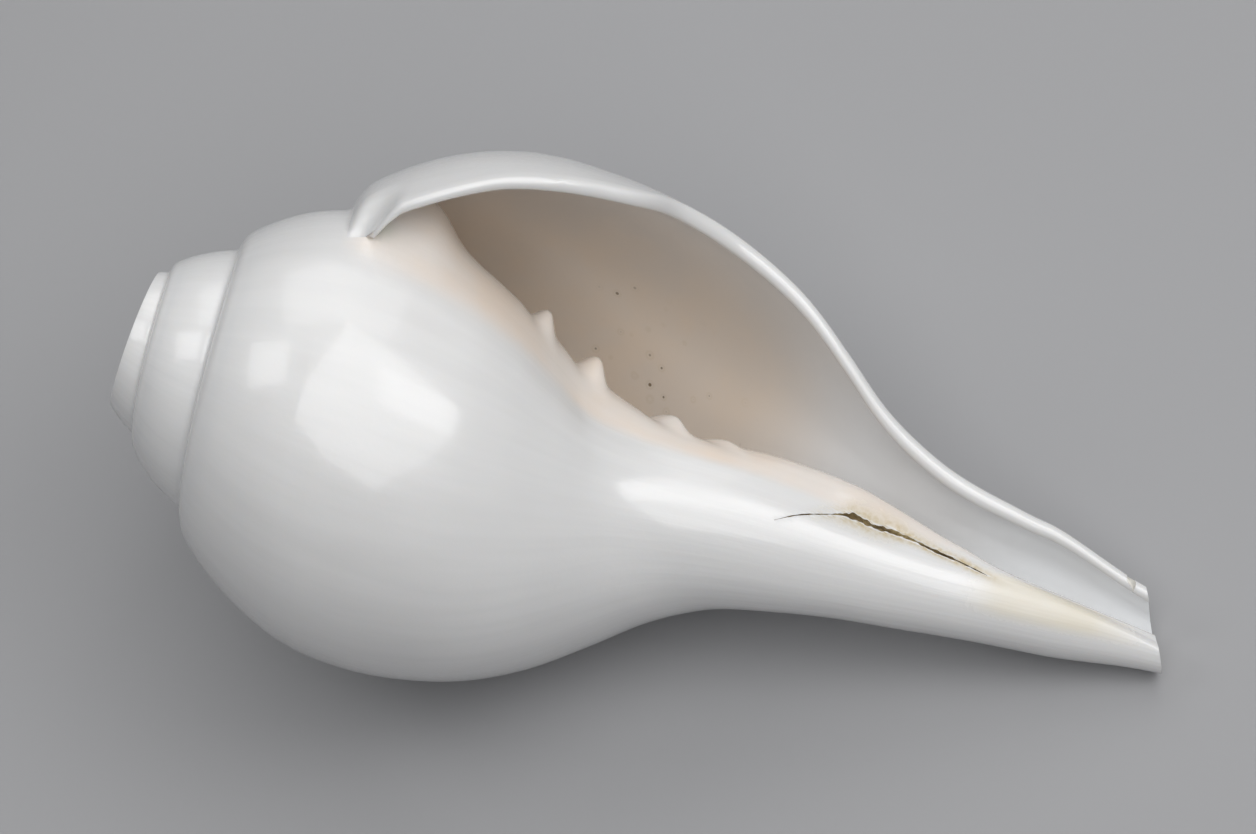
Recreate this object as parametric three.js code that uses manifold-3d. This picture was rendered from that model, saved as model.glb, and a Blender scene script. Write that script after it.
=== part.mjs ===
// A conch shell with its apex sawn off flat, lying as it comes to rest.
// Millimetres, +Z up. The long axis runs along +X, spire at -X and siphonal canal at +X.
// The shell is first built about its coil axis: x along the axis from the saw cut to the canal,
// y to the side where the lip stands highest, z to the side that the mouth faces.
// One growth turn is one whorl. The lip is near turn 0, and earlier growth has negative turns.
import * as THREE from "three";
import { mergeVertices } from "three/addons/utils/BufferGeometryUtils.js";
import Module from "manifold-3d";

const wasm = await Module();
wasm.setup();

// Coil, in millimetres, degrees and turns
const shellLength = 151.8; // from the saw cut to the end of the canal, along the coil axis
const lostApex = 11.9; // how far above the cut the spire would have come to its point
const growthPerTurn = 1.62; // each whorl is this much larger than the one before
const sutureReach = 35.9; // from the lost apex to the suture at the lip
const lipAngle = 30; // how far the lip's start stands round from the top, towards the mouth's side
const topTurn = -lipAngle / 360; // growth turn that lies at the top

// Half outline of the last whorl: distance from the lost apex, distance from the coil axis
const whorlOutline = [
  [30, 25.2], [36, 31.6], [42, 37.1], [49, 41.8], [58, 45.4], [70, 46], [82, 44.4], [93, 41.1],
  [102, 36.3], [112, 28.9], [120, 22.8], [130, 17.6], [146, 13.2], [172, 10.3], [230, 6.7], [300, 4.2],
];
// The pillar that the whorls wind round, on the outside below the whorls: height, radius
const pillarOutline = [
  [30, -8], [45, 4], [60, 11.2], [80, 11.4], [95, 9.9], [110, 7.1], [125, 4.7], [140, 3], [160, 2],
];
// The inner side of the mouth, callus above and columella below: height, radius at the top
const columellaOutline = [
  [20, 31.5], [30, 32.4], [34, 31.9], [39, 27.9], [46, 24.6], [51.5, 22], [58, 18.2], [65, 14.8],
  [72, 12.4], [80, 11], [92, 11], [104, 9.9], [111, 7.8], [119.5, 4.9], [127, 3.3], [135, 2.2], [150, 1.4],
  [200, 1], [300, 0.8],
];
// How far the coil axis bends sideways towards the lip: height, shift
const axisBend = [
  [0, -0.1], [6, -0.4], [12, -0.1], [30, 0.3], [45, 0.1], [60, 0.9], [75, 2.1], [90, 3.9], [104, 4.9],
  [118, 6], [130, 7.3], [144, 8.5], [156, 8.6],
];
const bellyLean = 0.05; // the underside of the belly leans this share of its depth towards the canal
const tipTaper = 0.33; // how much narrower the canal is at its end
const tipSlant = 0.58; // slope of the ground end of the canal
const tipSlantCentre = 8.5; // the slanted end turns about a line this far above the coil axis

// Plaits of the columella: height at the top line, how far each stands up, half width
const plaits = [
  { height: 53.9, rise: 2.3, width: 1.7 },
  { height: 62.7, rise: 2.7, width: 2 },
  { height: 75.6, rise: 1.7, width: 2.2 },
  { height: 83.5, rise: 0.7, width: 2.2 },
];
const plaitSteepness = 0.62; // the canal side of a plait is this much narrower than its apex side
const plaitGroove = 0.25; // depth of the groove before a plait, as a share of its rise

// Walls
const lipThickness = 2; // at the edge of the lip
const wallThickness = 3.8; // behind the lip
const thinnestWall = 1.8; // in the sawn spire
const sutureStep = 0.5; // how soon a whorl swells out past the suture
const cornerHeight = 2.6; // wall between the suture and the corner of the mouth
const mouthFloor = 112; // where the hollow of the last whorl closes at its deep end
// Where the pillar folds over into the canal: height, turn
const canalFold = [
  [0, -0.95], [112, -0.95], [118, -0.948], [125.5, -0.912], [132, -0.882], [139, -0.862], [145, -0.837],
  [149, -0.812], [153, -0.775],
];
const lipTurn = 0.0167; // growth turn at which the lip starts
const lipMelt = 0.03; // turns in which the start of the lip sinks into the whorl before it
// Degrees by which the lip's edge stands back from its start: height, lag
const lipLag = [
  [24, 0], [31, 0], [37.6, 3.3], [42.4, 6.2], [49, 8.3], [55.7, 12], [61.4, 16], [67, 25], [73, 30],
  [95, 30.5], [118, 33], [140, 34], [153, 34],
];

// Saw cut and blow hole
const blowHoleRadius = 5.5;
const blowHoleDepth = 21;

// Chink between the columella's callus and the pillar: turn and height of its points
const chink = [
  [-0.87, 94], [-0.9, 97], [-0.924, 100], [-0.955, 104.3], [-0.952, 107.6], [-0.958, 111], [-0.957, 114],
  [-0.945, 117.5], [-0.936, 120.5], [-0.925, 123], [-0.912, 125.5],
];
const chinkWidth = 0.7;
const chinkDepth = 1.3;

// Chip in the lip beside the canal's end
const chipHeight = 149.4;
const chipSize = 1.3;

// Lie of the shell at rest, in degrees: rolled about its coil axis, then tipped with the canal's end down
const restRoll = 24.95;
const restPitch = 20.22;

// Fineness
const columnsPerTurn = 36;
const spireTurns = 3.4;
const mouthTurns = 0.75;
const whorlRows = [0, 0.022, 0.054, 0.108, 0.206, 0.38, 0.63, 1]; // shares of the way between sutures
const mouthRows = [
  25.1, 28, 32, 37, 42, 46.5, 50.5, 52.4, 53.9, 55.2, 57.2, 60, 61.3, 62.7, 64.2, 66.5, 70, 73.3, 75.6,
  77.4, 80.2, 83.5, 86.5, 92, 99, 107, 115, 123, 131, 139, 147, shellLength,
];
const hollowStepsPerTurn = 20;
const hollowRows = 8;

function smoothstep(value, from, to) {
  const share = Math.min(Math.max((value - from) / (to - from), 0), 1);
  return share * share * (3 - 2 * share);
}

// A smooth curve through points in order of their first number, straight beyond its ends
function curveThrough(points) {
  const last = points.length - 1;
  const slope = (k) => (points[k + 1][1] - points[k][1]) / (points[k + 1][0] - points[k][0]);
  const width = (k) => points[k + 1][0] - points[k][0];
  const tangent = (k) => {
    if (k === 0) return slope(0);
    if (k === last) return slope(last - 1);
    return (slope(k - 1) * width(k) + slope(k) * width(k - 1)) / (width(k) + width(k - 1));
  };
  const tangents = points.map((_, k) => tangent(k));
  return (at) => {
    let k = 0;
    while (k < last - 1 && at > points[k + 1][0]) k += 1;
    const span = width(k);
    const share = (at - points[k][0]) / span;
    if (share < 0) return points[k][1] + share * span * tangents[k];
    if (share > 1) return points[k + 1][1] + (share - 1) * span * tangents[k + 1];
    const rest = 1 - share;
    return (
      (1 + 2 * share) * rest * rest * points[k][1] +
      share * rest * rest * span * tangents[k] +
      share * share * (3 - 2 * share) * points[k + 1][1] -
      share * share * rest * span * tangents[k + 1]
    );
  };
}

const whorlCurve = curveThrough(whorlOutline);
const pillarCurve = curveThrough(pillarOutline);
const columellaCurve = curveThrough(columellaOutline);
const bendCurve = curveThrough(axisBend);
const lagCurve = curveThrough(lipLag);
const foldCurve = curveThrough(canalFold);

const growth = (turn) => growthPerTurn ** turn;
const sutureHeight = (turn) => sutureReach * growth(turn) - lostApex;

// Radius of a whorl as if nothing covered it
function whorlRadius(turn, height) {
  const size = growth(turn);
  return size * whorlCurve((height + lostApex) / size);
}

// The larger of two radii, rounded where they meet
function blendLarger(first, second, softness) {
  const overlap = Math.max(softness - Math.abs(first - second), 0) / softness;
  return Math.max(first, second) + overlap * overlap * softness * 0.25;
}

// Height of a plait above the columella
function plaitRise(turn, height) {
  const size = growth(turn - topTurn + 1);
  const levelAtTop = (height + lostApex) / size - lostApex;
  const fade = smoothstep(turn, -1.01, -1.07) * smoothstep(turn, -3, -1.6);
  const rise = plaits.reduce((sum, plait) => {
    const offset = levelAtTop - plait.height;
    const width = offset < 0 ? plait.width : plait.width * plaitSteepness;
    const ridge = Math.exp(-((offset / width) ** 2));
    const groove = Math.exp(-(((offset + plait.width * 1.5) / (plait.width * 0.8)) ** 2));
    return sum + plait.rise * (ridge - plaitGroove * groove);
  }, 0);
  return rise * fade * size;
}

function columellaRadius(turn, height) {
  const size = growth(turn - topTurn + 1);
  return size * columellaCurve((height + lostApex) / size - lostApex) + plaitRise(turn, height);
}

// Radius of the rolled wall's outer face, which turns into the columella inside the mouth
function outerRadius(turn, height) {
  const size = growth(turn);
  const nextSuture = sutureHeight(turn + 1);
  const nextSize = growth(turn + 1);
  const fold = foldCurve(height);
  const foldWidth = 0.12 - 0.05 * smoothstep(height, 112, 140);
  const inMouth =
    smoothstep(turn, fold, fold - foldWidth) *
    smoothstep(height, nextSuture - 0.5 * nextSize, nextSuture + 2.5 * nextSize);
  const whorl = blendLarger(whorlRadius(turn, height), pillarCurve(height), 3);
  const radius = whorl * (1 - inMouth) + columellaRadius(turn, height) * inMouth;
  const taper = 1 - tipTaper * smoothstep(height, 134, 156);
  const pastSuture = height - sutureHeight(turn);
  if (pastSuture > 12 * size) return radius * taper;
  const covered = whorlRadius(turn - 1, height);
  const atStart = smoothstep(turn, lipTurn - lipMelt, lipTurn) * (1 - smoothstep(pastSuture, 1.5, 6));
  const swollen = (1 - Math.exp(-Math.max(pastSuture, 0) / (sutureStep * size))) * (1 - atStart);
  return (covered + (radius - covered) * swollen) * taper;
}

function wall(turn, height) {
  const lip = lipThickness * (1 - 0.5 * smoothstep(height, 55, 85));
  const full = lip + (wallThickness - lip) * smoothstep(turn, lipTurn, lipTurn - 0.16);
  return Math.max(full * growth(turn) ** 0.7, thinnestWall) * (1 - 0.25 * smoothstep(height, 110, 150));
}

// The hollow reaches from the corner beside the suture down to its floor, which opens into the canal
const hollowTop = (turn) => sutureHeight(turn) + cornerHeight * growth(turn);

function hollowFloor(turn) {
  return (mouthFloor + lostApex) * growth(turn + 0.5) - lostApex + 90 * smoothstep(turn, -0.62, -0.3);
}

// Radius of the rolled wall's inner face, over a hollow that closes at the floor
function innerRadius(turn, height, floor = hollowFloor(turn)) {
  const size = growth(turn);
  const columella = outerRadius(turn - 1, height);
  const gap = Math.max(outerRadius(turn, height) - wall(turn, height) - columella, 0.05);
  const fromTop = Math.min(Math.max((height - hollowTop(turn)) / (5 * size), 0), 1);
  const fromFloor = Math.min(Math.max((floor - height) / (16 * size), 0), 1);
  const rounding = Math.sqrt(1 - (1 - fromTop) ** 2) * Math.sqrt(1 - (1 - fromFloor) ** 2);
  return columella + gap * rounding;
}

// The lip's edge stands back from its start, so the last growth is turned back with height
function laggedTurn(turn, height) {
  return turn - (Math.max(lagCurve(height), 0) / 360) * smoothstep(turn, -0.3, lipTurn);
}

// A point of the shell about its coil axis
function place(turn, height, radius) {
  const angle = THREE.MathUtils.degToRad(lipAngle + 360 * turn);
  const side = bendCurve(height) + radius * Math.cos(angle);
  const front = radius * Math.sin(angle);
  const belowAxis = 0.5 * (Math.sqrt(side * side + 64) - side);
  const belly = smoothstep(height, 15, 30) + smoothstep(height, 40, 75);
  const lean = bellyLean * belowAxis * belly * (1 - smoothstep(height, 90, 118));
  const slant = tipSlant * smoothstep(height, 118, shellLength) * (side - tipSlantCentre);
  return new THREE.Vector3(height + lean - slant, side, front);
}

// Height of a row of the mouth's rows, counted from the corner of the mouth
function mouthRowHeight(turn, row) {
  const top = hollowTop(turn + 1);
  const level = mouthRows[row];
  const wound = growth(turn - topTurn + 1) * (level + lostApex) - lostApex;
  const straighten = smoothstep(level, 90, shellLength);
  const followsPlaits = wound * (1 - straighten) + level * straighten;
  const even = top + ((shellLength - top) * row) / (mouthRows.length - 1);
  const outside = smoothstep(turn, -1, -0.72);
  return followsPlaits * (1 - outside) + even * outside;
}

// The whole shell but for the deep whorls, as one closed skin
function shellSkin() {
  const positions = [];
  const triangles = [];
  const addPoint = (point) => positions.push(point) - 1;
  const addTriangle = (a, b, c) => {
    if (a !== b && b !== c && c !== a) triangles.push(a, b, c);
  };
  const addQuad = (a, b, c, d) => {
    addTriangle(a, b, c);
    addTriangle(a, c, d);
  };

  const turnRows = whorlRows.length - 1;
  const innerRows = mouthRows.length - 1;
  const firstColumn = -Math.round(spireTurns * columnsPerTurn);
  const mouthColumn = -Math.round(mouthTurns * columnsPerTurn);
  const turnOf = (column) => column / columnsPerTurn + lipTurn;
  let openColumn = mouthColumn;
  while (hollowFloor(turnOf(openColumn)) < shellLength) openColumn += 1;

  const floorOf = (column) =>
    column < openColumn - 1 ? Math.min(hollowFloor(turnOf(column)), shellLength) : shellLength;
  const rowHeight = (column, row) => {
    const height = mouthRowHeight(turnOf(column), row);
    if (column > -columnsPerTurn) return height;
    const top = hollowTop(turnOf(column) + 1);
    const shrink = (floorOf(column + columnsPerTurn) - top) / (shellLength - top);
    return top + (height - top) * shrink;
  };

  const whorl = new Map();
  const mouth = new Map();
  const key = (column, row) => column * 1000 + row;
  for (let column = firstColumn; column <= 0; column += 1) {
    const turn = turnOf(column);
    for (let row = 0; row <= turnRows; row += 1) {
      if (row === 0 && column - columnsPerTurn >= firstColumn) {
        whorl.set(key(column, 0), whorl.get(key(column - columnsPerTurn, turnRows)));
        continue;
      }
      const height = THREE.MathUtils.lerp(sutureHeight(turn), sutureHeight(turn + 1), whorlRows[row]);
      const grown = laggedTurn(turn, height);
      whorl.set(key(column, row), addPoint(place(grown, height, outerRadius(grown, height))));
    }
    if (column < mouthColumn - columnsPerTurn) continue;
    for (let row = 0; row <= innerRows; row += 1) {
      const height = rowHeight(column, row);
      const grown = laggedTurn(turn, height);
      mouth.set(key(column, row), addPoint(place(grown, height, outerRadius(grown, height))));
    }
  }

  const lining = new Map();
  for (let column = mouthColumn; column <= 0; column += 1) {
    const under = column - columnsPerTurn;
    const floor = Math.max(hollowFloor(turnOf(column)), floorOf(column));
    for (let row = 0; row <= innerRows; row += 1) {
      const closed = row === 0 || (row === innerRows && column < openColumn);
      const height = rowHeight(under, row);
      const grown = laggedTurn(turnOf(column), height);
      lining.set(
        key(column, row),
        closed ? mouth.get(key(under, row)) : addPoint(place(grown, height, innerRadius(grown, height, floor))),
      );
    }
  }

  // Outside of the whorls, from the lost apex to the lip
  for (let column = firstColumn; column < 0; column += 1) {
    for (let row = 0; row < turnRows; row += 1) {
      addQuad(
        whorl.get(key(column, row)),
        whorl.get(key(column + 1, row)),
        whorl.get(key(column + 1, row + 1)),
        whorl.get(key(column, row + 1)),
      );
    }
  }
  for (let column = -columnsPerTurn; column < 0; column += 1) {
    addQuad(
      whorl.get(key(column, turnRows)),
      whorl.get(key(column + 1, turnRows)),
      mouth.get(key(column + 1, 0)),
      mouth.get(key(column, 0)),
    );
  }
  // Lower outside, and the columella inside the mouth
  for (let column = mouthColumn - columnsPerTurn; column < 0; column += 1) {
    for (let row = 0; row < innerRows; row += 1) {
      addQuad(
        mouth.get(key(column, row)),
        mouth.get(key(column + 1, row)),
        mouth.get(key(column + 1, row + 1)),
        mouth.get(key(column, row + 1)),
      );
    }
  }
  // Inner face of the outer wall
  for (let column = mouthColumn; column < 0; column += 1) {
    for (let row = 0; row < innerRows; row += 1) {
      addQuad(
        lining.get(key(column, row)),
        lining.get(key(column, row + 1)),
        lining.get(key(column + 1, row + 1)),
        lining.get(key(column + 1, row)),
      );
    }
  }
  // Deep end of the mouth, where the hollow of the earlier whorls goes on
  const deepest = mouthColumn - columnsPerTurn;
  for (let row = 0; row < innerRows; row += 1) {
    addQuad(
      mouth.get(key(deepest, row)),
      mouth.get(key(deepest, row + 1)),
      lining.get(key(mouthColumn, row + 1)),
      lining.get(key(mouthColumn, row)),
    );
  }

  // Rounded edge of the lip
  const edge = [lining.get(key(0, 0))];
  for (let row = 1; row <= innerRows; row += 1) {
    const height = rowHeight(-columnsPerTurn, row);
    const grown = laggedTurn(lipTurn, height);
    const radius = (outerRadius(grown, height) + innerRadius(grown, height)) / 2;
    const forward = THREE.MathUtils.radToDeg((0.3 * lipThickness) / radius) / 360;
    edge.push(addPoint(place(grown + forward, height, radius)));
  }
  const outerEdge = [];
  for (let row = 0; row <= turnRows; row += 1) outerEdge.push(whorl.get(key(0, row)));
  for (let row = 0; row <= innerRows; row += 1) outerEdge.push(mouth.get(key(0, row)));
  let outer = 0;
  let rim = 0;
  while (outer < outerEdge.length - 1 || rim < edge.length - 1) {
    const nextOuter = outer < outerEdge.length - 1 ? positions[outerEdge[outer + 1]].x : Infinity;
    const nextRim = rim < edge.length - 1 ? positions[edge[rim + 1]].x : Infinity;
    if (nextOuter <= nextRim) {
      addTriangle(outerEdge[outer + 1], outerEdge[outer], edge[rim]);
      outer += 1;
    } else {
      addTriangle(outerEdge[outer], edge[rim], edge[rim + 1]);
      rim += 1;
    }
  }
  for (let row = 0; row < innerRows; row += 1) {
    addQuad(edge[row + 1], edge[row], lining.get(key(0, row)), lining.get(key(0, row + 1)));
  }

  // Ground end of the canal
  const rimLoop = [];
  for (let column = -columnsPerTurn; column <= 0; column += 1) rimLoop.push(mouth.get(key(column, innerRows)));
  rimLoop.push(edge[innerRows]);
  for (let column = 0; column >= openColumn; column -= 1) rimLoop.push(lining.get(key(column, innerRows)));
  for (let column = openColumn - 1; column < 0; column += 1) {
    rimLoop.push(mouth.get(key(column - columnsPerTurn, innerRows)));
  }
  const flat = rimLoop.map((index) => new THREE.Vector2(positions[index].y, positions[index].z));
  for (const [a, b, c] of THREE.ShapeUtils.triangulateShape(flat, [])) {
    const turned = flat[b].clone().sub(flat[a]).cross(flat[c].clone().sub(flat[a])) > 0;
    if (turned) addTriangle(rimLoop[a], rimLoop[b], rimLoop[c]);
    else addTriangle(rimLoop[a], rimLoop[c], rimLoop[b]);
  }

  // Lost tip of the spire, which the saw cut takes off
  const tip = addPoint(new THREE.Vector3(-lostApex, 0, 0));
  for (let row = 0; row < turnRows; row += 1) {
    addTriangle(whorl.get(key(firstColumn, row)), whorl.get(key(firstColumn, row + 1)), tip);
  }
  for (let column = firstColumn; column < firstColumn + columnsPerTurn; column += 1) {
    addTriangle(whorl.get(key(column + 1, 0)), whorl.get(key(column, 0)), tip);
  }
  return { positions, triangles };
}

// The hollow of the earlier whorls, as a closed winding body to cut away
function whorlHollow() {
  const positions = [];
  const triangles = [];
  const clearance = 0.4;
  const firstTurn = -2.7;
  const lastTurn = -mouthTurns + 0.05;
  const steps = Math.round((lastTurn - firstTurn) * hollowStepsPerTurn);
  const ring = 2 * hollowRows;
  for (let step = 0; step <= steps; step += 1) {
    const turn = THREE.MathUtils.lerp(firstTurn, lastTurn, step / steps);
    const top = Math.max(hollowTop(turn), 1.2) + 0.6;
    const floor = hollowFloor(turn) - 1.5;
    for (let side = 0; side < ring; side += 1) {
      const height = top + (floor - top) * 0.5 * (1 - Math.cos((2 * Math.PI * side) / ring));
      const low = outerRadius(turn - 1, height) + clearance;
      const high = Math.max(innerRadius(turn, height) - clearance, low + 0.1);
      const isTip = side === 0 || side === hollowRows;
      const radius = isTip ? (low + high) / 2 : side < hollowRows ? high : low;
      positions.push(place(turn, height, radius));
    }
  }
  for (let step = 0; step < steps; step += 1) {
    for (let side = 0; side < ring; side += 1) {
      const next = (side + 1) % ring;
      const a = step * ring + side;
      const b = (step + 1) * ring + side;
      const c = (step + 1) * ring + next;
      const d = step * ring + next;
      triangles.push(a, b, c, a, c, d);
    }
  }
  const lastRing = steps * ring;
  for (let side = 1; side < hollowRows; side += 1) {
    const across = ring - side;
    const nextAcross = across - 1;
    triangles.push(side, side + 1, across % ring, side + 1, nextAcross, across % ring);
    const far = lastRing + side;
    triangles.push(far + 1, far, lastRing + (across % ring));
    triangles.push(lastRing + nextAcross, far + 1, lastRing + (across % ring));
  }
  triangles.push(0, 1, ring - 1);
  triangles.push(lastRing + 1, lastRing, lastRing + ring - 1);
  return { positions, triangles };
}

// A narrow blade along the chink, standing from above the skin to its bottom
function chinkBlade() {
  const positions = [];
  const triangles = [];
  const points = chink.map(([turn, height]) => place(turn, height, outerRadius(turn, height)));
  const axis = chink.map(([, height]) => place(0, height, 0));
  points.forEach((point, index) => {
    const along = points[Math.min(index + 1, points.length - 1)].clone();
    along.sub(points[Math.max(index - 1, 0)]).normalize();
    const out = point.clone().sub(axis[index]).setX(0).normalize();
    const across = new THREE.Vector3().crossVectors(along, out).normalize();
    const taper = Math.sin((Math.PI * (index + 0.6)) / (points.length + 0.2)) ** 0.5;
    const bottom = point.clone().addScaledVector(out, -chinkDepth * taper);
    const top = point.clone().addScaledVector(out, 1.5);
    const half = (chinkWidth * taper * (1 + 1.5 / chinkDepth)) / 2;
    positions.push(bottom, top.clone().addScaledVector(across, half), top.clone().addScaledVector(across, -half));
  });
  const last = (points.length - 1) * 3;
  for (let start = 0; start < last; start += 3) {
    for (let side = 0; side < 3; side += 1) {
      const next = (side + 1) % 3;
      triangles.push(start + side, start + 3 + side, start + 3 + next, start + side, start + 3 + next, start + next);
    }
  }
  triangles.push(0, 1, 2, last, last + 2, last + 1);
  return { positions, triangles };
}

function toManifold({ positions, triangles }) {
  return new wasm.Manifold(
    new wasm.Mesh({
      numProp: 3,
      vertProperties: Float32Array.from(positions.flatMap((point) => [point.x, point.y, point.z])),
      triVerts: Uint32Array.from(triangles),
    }),
  );
}

function geometryToManifold(geometry) {
  geometry.deleteAttribute("normal");
  geometry.deleteAttribute("uv");
  const merged = mergeVertices(geometry);
  return new wasm.Manifold(
    new wasm.Mesh({
      numProp: 3,
      vertProperties: Float32Array.from(merged.getAttribute("position").array),
      triVerts: Uint32Array.from(merged.getIndex().array),
    }),
  );
}

// Everything above the saw cut
function sawnOff() {
  const depth = 40;
  return geometryToManifold(new THREE.BoxGeometry(depth, 80, 80).translate(-depth / 2, 0, 0));
}

function blowHole() {
  const hole = new THREE.CylinderGeometry(blowHoleRadius, blowHoleRadius, 2 * blowHoleDepth, 32);
  return geometryToManifold(hole.rotateZ(Math.PI / 2));
}

function lipChip() {
  const turn = laggedTurn(lipTurn, chipHeight);
  const point = place(turn, chipHeight, outerRadius(turn, chipHeight) - 0.8);
  const chip = new THREE.OctahedronGeometry(chipSize).scale(0.8, 1, 1);
  return geometryToManifold(chip.translate(point.x, point.y, point.z));
}

function conchGeometry() {
  const cuts = [whorlHollow(), chinkBlade()].map(toManifold).concat(sawnOff(), blowHole(), lipChip());
  const shell = cuts.reduce((solid, cut) => solid.subtract(cut), toManifold(shellSkin()));
  const largest = shell.decompose().sort((first, second) => second.volume() - first.volume())[0];
  const mesh = largest.getMesh();
  const geometry = new THREE.BufferGeometry();
  geometry.setAttribute("position", new THREE.BufferAttribute(Float32Array.from(mesh.vertProperties), 3));
  geometry.setIndex(new THREE.BufferAttribute(Uint32Array.from(mesh.triVerts), 1));
  geometry.rotateX(THREE.MathUtils.degToRad(restRoll));
  geometry.rotateY(THREE.MathUtils.degToRad(restPitch));
  geometry.computeVertexNormals();
  return geometry;
}

const porcelain = new THREE.MeshStandardMaterial({ color: 0xece9e6, roughness: 0.22, metalness: 0 });
const conch = new THREE.Mesh(conchGeometry(), porcelain);
conch.name = "conch_shell";

// The origin is under the middle of the shell, on what it rests on
const extent = new THREE.Box3().setFromBufferAttribute(conch.geometry.getAttribute("position"));
conch.position.set(-(extent.min.x + extent.max.x) / 2, -(extent.min.y + extent.max.y) / 2, -extent.min.z);

const group = new THREE.Group();
group.add(conch);

export default group;
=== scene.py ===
"""A polished conch shell with its apex sawn off flat, dressed round its solid and set on a plain floor.

The shell is worked out about its coil axis in millimetres: height runs along the axis from the saw cut to the
canal, and a turn is one whorl of growth, with turn 0 at the lip and earlier growth at negative turns.
"""
import math

import bpy
import numpy as np
from bpy.props import FloatProperty, FloatVectorProperty, IntProperty, PointerProperty
from mathutils import Euler, Matrix, Vector
from mathutils.geometry import tessellate_polygon


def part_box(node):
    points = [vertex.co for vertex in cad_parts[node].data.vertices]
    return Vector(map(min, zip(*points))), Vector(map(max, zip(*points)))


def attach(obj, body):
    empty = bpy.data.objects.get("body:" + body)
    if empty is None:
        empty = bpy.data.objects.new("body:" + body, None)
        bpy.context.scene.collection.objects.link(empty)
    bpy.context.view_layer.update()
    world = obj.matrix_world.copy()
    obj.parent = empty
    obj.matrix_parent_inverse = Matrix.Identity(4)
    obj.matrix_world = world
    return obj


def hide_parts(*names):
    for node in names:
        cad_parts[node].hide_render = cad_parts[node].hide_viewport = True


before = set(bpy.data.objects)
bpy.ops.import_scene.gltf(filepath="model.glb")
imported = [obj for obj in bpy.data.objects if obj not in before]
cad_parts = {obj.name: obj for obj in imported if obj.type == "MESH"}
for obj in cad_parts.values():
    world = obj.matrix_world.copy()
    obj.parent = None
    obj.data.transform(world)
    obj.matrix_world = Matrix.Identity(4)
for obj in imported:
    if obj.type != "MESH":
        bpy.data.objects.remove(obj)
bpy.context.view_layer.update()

bl_info = {
    "name": "Conch Shell",
    "version": (1, 0, 0),
    "blender": (4, 5, 0),
    "location": "3D View > Sidebar > Conch",
    "description": "Grows a polished conch shell and sets it on a plain studio floor",
    "category": "Add Mesh",
}

SHELL = "conch_shell"

# Half outline of the last whorl: distance from the lost apex, distance from the coil axis
WHORL_OUTLINE = (
    (30, 25.2), (36, 31.6), (42, 37.1), (49, 41.8), (58, 45.4), (70, 46), (82, 44.4), (93, 41.1),
    (102, 36.3), (112, 28.9), (120, 22.8), (130, 17.6), (146, 13.2), (172, 10.3), (230, 6.7), (300, 4.2),
)
# The pillar that the whorls wind round, on the outside below the whorls: height, radius
PILLAR_OUTLINE = (
    (30, -8), (45, 4), (60, 11.2), (80, 11.4), (95, 9.9), (110, 7.1), (125, 4.7), (140, 3), (160, 2),
)
# The inner side of the mouth, callus above and columella below: height, radius at the top
COLUMELLA_OUTLINE = (
    (20, 31.5), (30, 32.4), (34, 31.9), (39, 27.9), (46, 24.6), (51.5, 22), (58, 18.2), (65, 14.8),
    (72, 12.4), (80, 11), (92, 11), (104, 9.9), (111, 7.8), (119.5, 4.9), (127, 3.3), (135, 2.2), (150, 1.4),
    (200, 1), (300, 0.8),
)
# How far the coil axis bends sideways towards the lip: height, shift
AXIS_BEND = (
    (0, -0.1), (6, -0.4), (12, -0.1), (30, 0.3), (45, 0.1), (60, 0.9), (75, 2.1), (90, 3.9), (104, 4.9),
    (118, 6), (130, 7.3), (144, 8.5), (156, 8.6),
)
# Plaits of the columella: height at the top line, how far each stands up, half width
PLAITS = ((53.9, 2.3, 1.7), (62.7, 2.7, 2.0), (75.6, 1.7, 2.2), (83.5, 0.7, 2.2))
PLAIT_STEEPNESS = 0.62
PLAIT_GROOVE = 0.25
# Degrees by which the lip's edge stands back from its start: height, lag
LIP_LAG = (
    (24, 0), (31, 0), (37.6, 3.3), (42.4, 6.2), (49, 8.3), (55.7, 12), (61.4, 16), (67, 25), (73, 30),
    (95, 30.5), (118, 33), (140, 34), (153, 34),
)
# Chink between the columella's callus and the pillar: height, turn
CHINK_PATH = (
    (94, -0.87), (97, -0.9), (100, -0.924), (104.3, -0.955), (107.6, -0.952), (111, -0.958), (114, -0.957),
    (117.5, -0.945), (120.5, -0.936), (123, -0.925), (125.5, -0.912),
)
# Where the pillar folds over into the canal: height, turn
CANAL_FOLD = (
    (0, -0.95), (112, -0.95), (118, -0.948), (125.5, -0.912), (132, -0.882), (139, -0.862), (145, -0.837),
    (149, -0.812), (153, -0.775),
)
# Rows of the mouth at the top line, closer where the plaits stand
MOUTH_LEVELS = ((25.1, 46, 18), (46, 90, 88), (90, 151.8, 44))
# The chip in the lip beside the canal's end: height, half its length and half its width, mm
CHIP_HEIGHT = 149.4
CHIP_HALF_LENGTH = 0.95
CHIP_HALF_WIDTH = 1.1
# Distance round the pillar at the chink, and how far the callus stands proud there, mm
PILLAR_ROUND = 2 * math.pi * 9
LEDGE_RISE = 0.55
# Turns over which the pillar folds into the canal, and how many fewer at the canal's end
FOLD_WIDTH = 0.12
FOLD_NARROWING = 0.05
# Share by which the lip's edge thins down the mouth, and every wall thins along the canal
LIP_THINNING = 0.5
CANAL_THINNING = 0.25
# Room between the deep hollow and the faces of the skin, mm
HOLLOW_CLEARANCE = 0.4
# Block that saws off the spire, mm: depth, width, height
SAW_BLOCK = (40.0, 80.0, 80.0)

# How far back the whorls and the mouth are modelled, in turns
SPIRE_TURNS = 3.4
MOUTH_TURNS = 0.75
DEEPEST_TURN = -2.7
# Rows, arcs and steps of the mesh
WHORL_ROWS = 30
LIP_ARCS = 5
HOLLOW_STEPS = 110
HOLLOW_ROWS = 18
CHINK_STEPS = 120

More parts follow.
